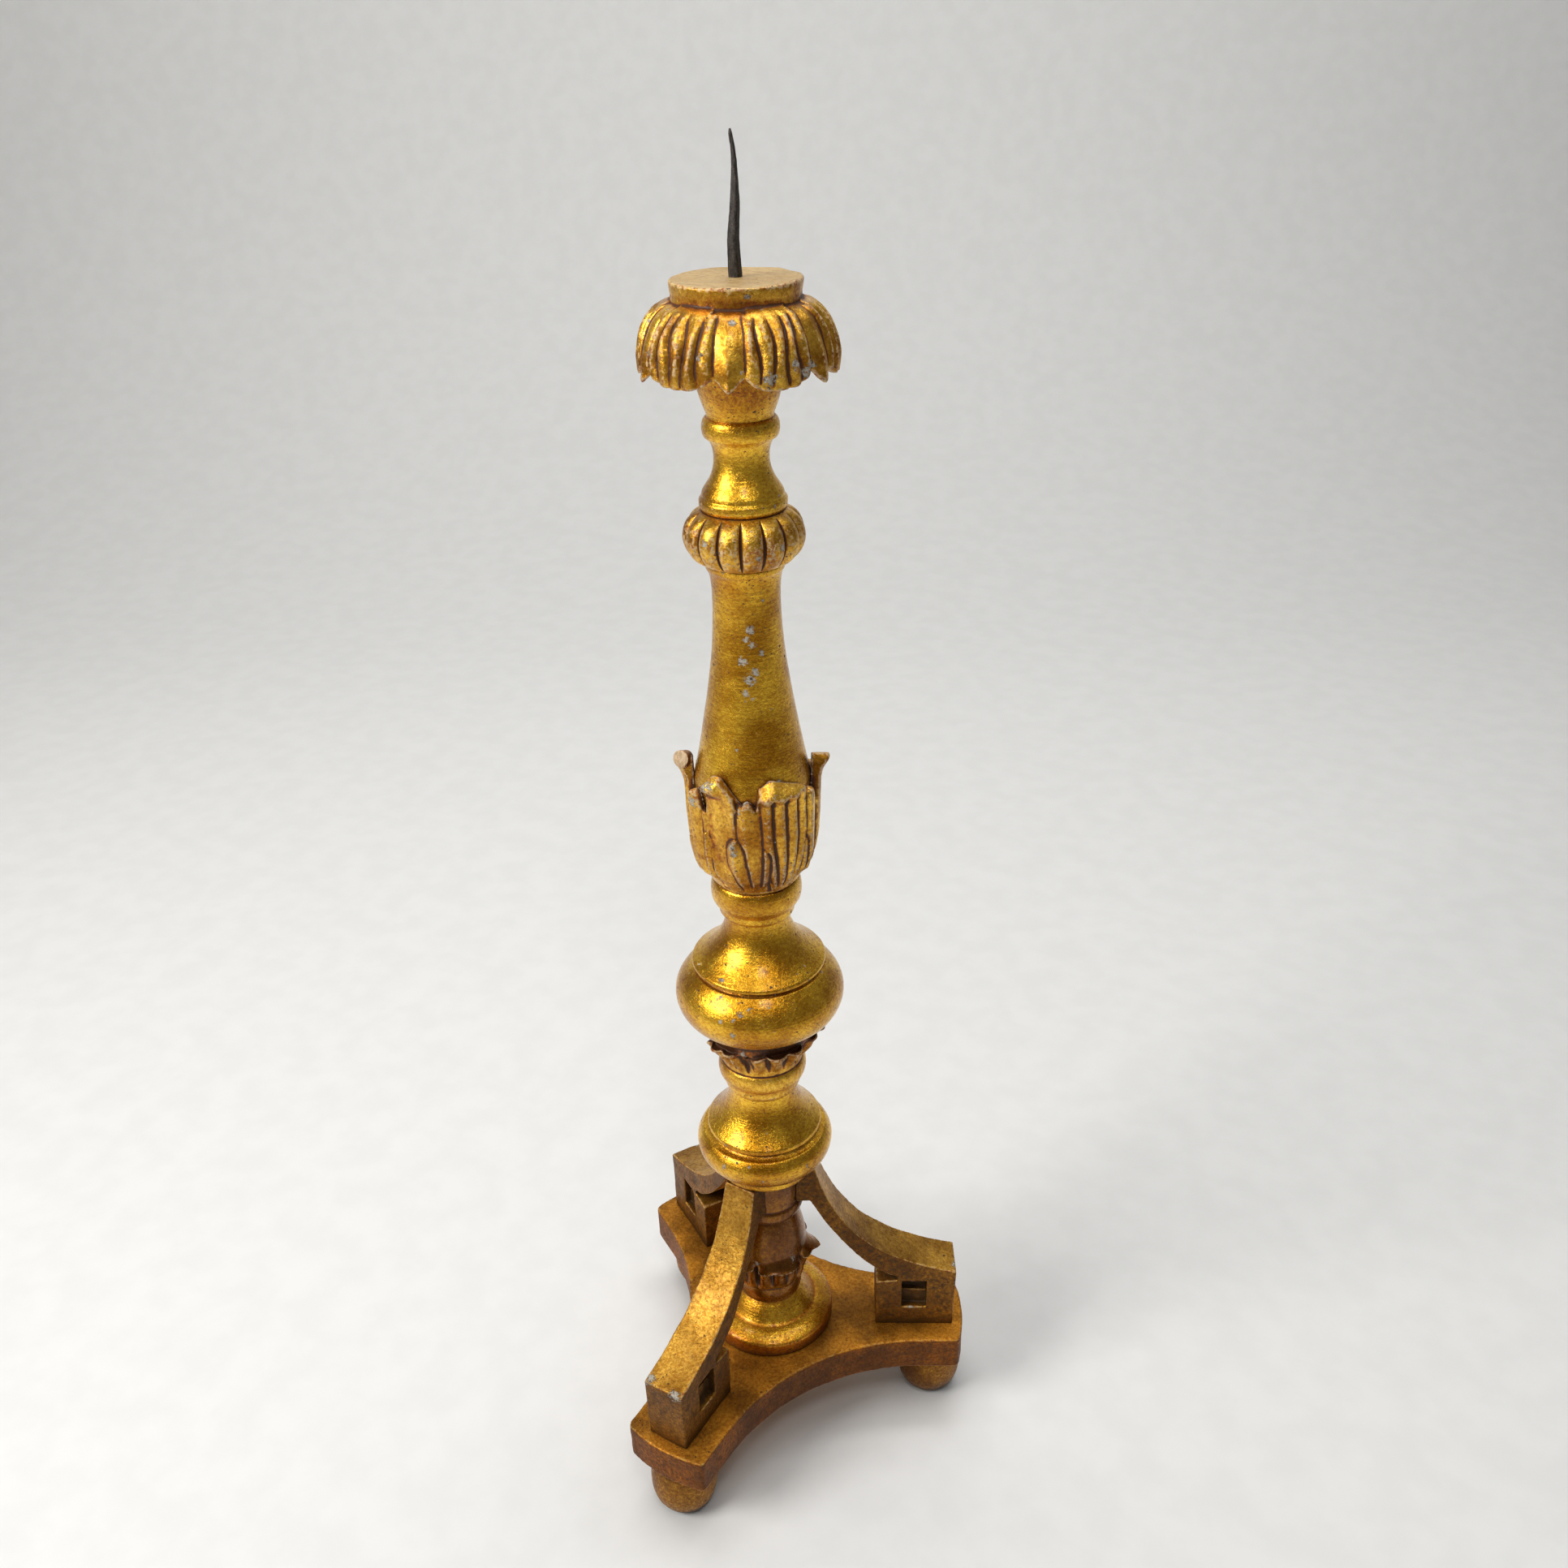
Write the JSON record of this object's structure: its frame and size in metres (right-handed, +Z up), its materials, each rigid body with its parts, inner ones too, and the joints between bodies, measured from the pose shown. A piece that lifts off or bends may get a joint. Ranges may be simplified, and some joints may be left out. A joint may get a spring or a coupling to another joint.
{
  "type": "torchere candle stand",
  "caption": "Tall carved and gilded wooden torchere on a tripod base with scroll legs and bun feet, with a leafed drip pan and an iron pricket for a candle.",
  "frame": {"origin": "on the floor, under the middle of the base plate's outline", "axes": "+Z up along the column; -Y towards the front leg; +X to the right of it"},
  "size_m": [0.3862, 0.3422, 1.2745],
  "materials": {
    "gilding": "water-gilded gesso on carved wood, burnished and rubbed, with bole showing in the grooves",
    "base_gilding": "older, browner gilding, dull and worn, with bole and grey gesso at the edges",
    "wrought_iron": "hand-forged, dark, with fine rust pitting",
    "peg_wood": "bare riven wood"
  },
  "bodies": {
    "root": {"base_plate": "base_gilding", "foot_disc": "gilding", "lower_stem": "gilding", "lower_bulb": "gilding", "leaf_cup": "gilding", "upper_bulb": "gilding", "collar_ring": "gilding", "acanthus_calyx": "gilding", "main_shaft": "gilding", "gadrooned_knop": "gilding", "upper_vase": "gilding", "pan_cup": "gilding", "drip_pan": "gilding", "pricket_spike": "wrought_iron", "front_leg": "base_gilding", "front_foot": "base_gilding", "front_base_peg": "peg_wood", "front_head_peg": "peg_wood", "right_leg": "base_gilding", "right_foot": "base_gilding", "right_base_peg": "peg_wood", "right_head_peg": "peg_wood", "left_leg": "base_gilding", "left_foot": "base_gilding", "left_base_peg": "peg_wood", "left_head_peg": "peg_wood"}
  },
  "joints": []
}
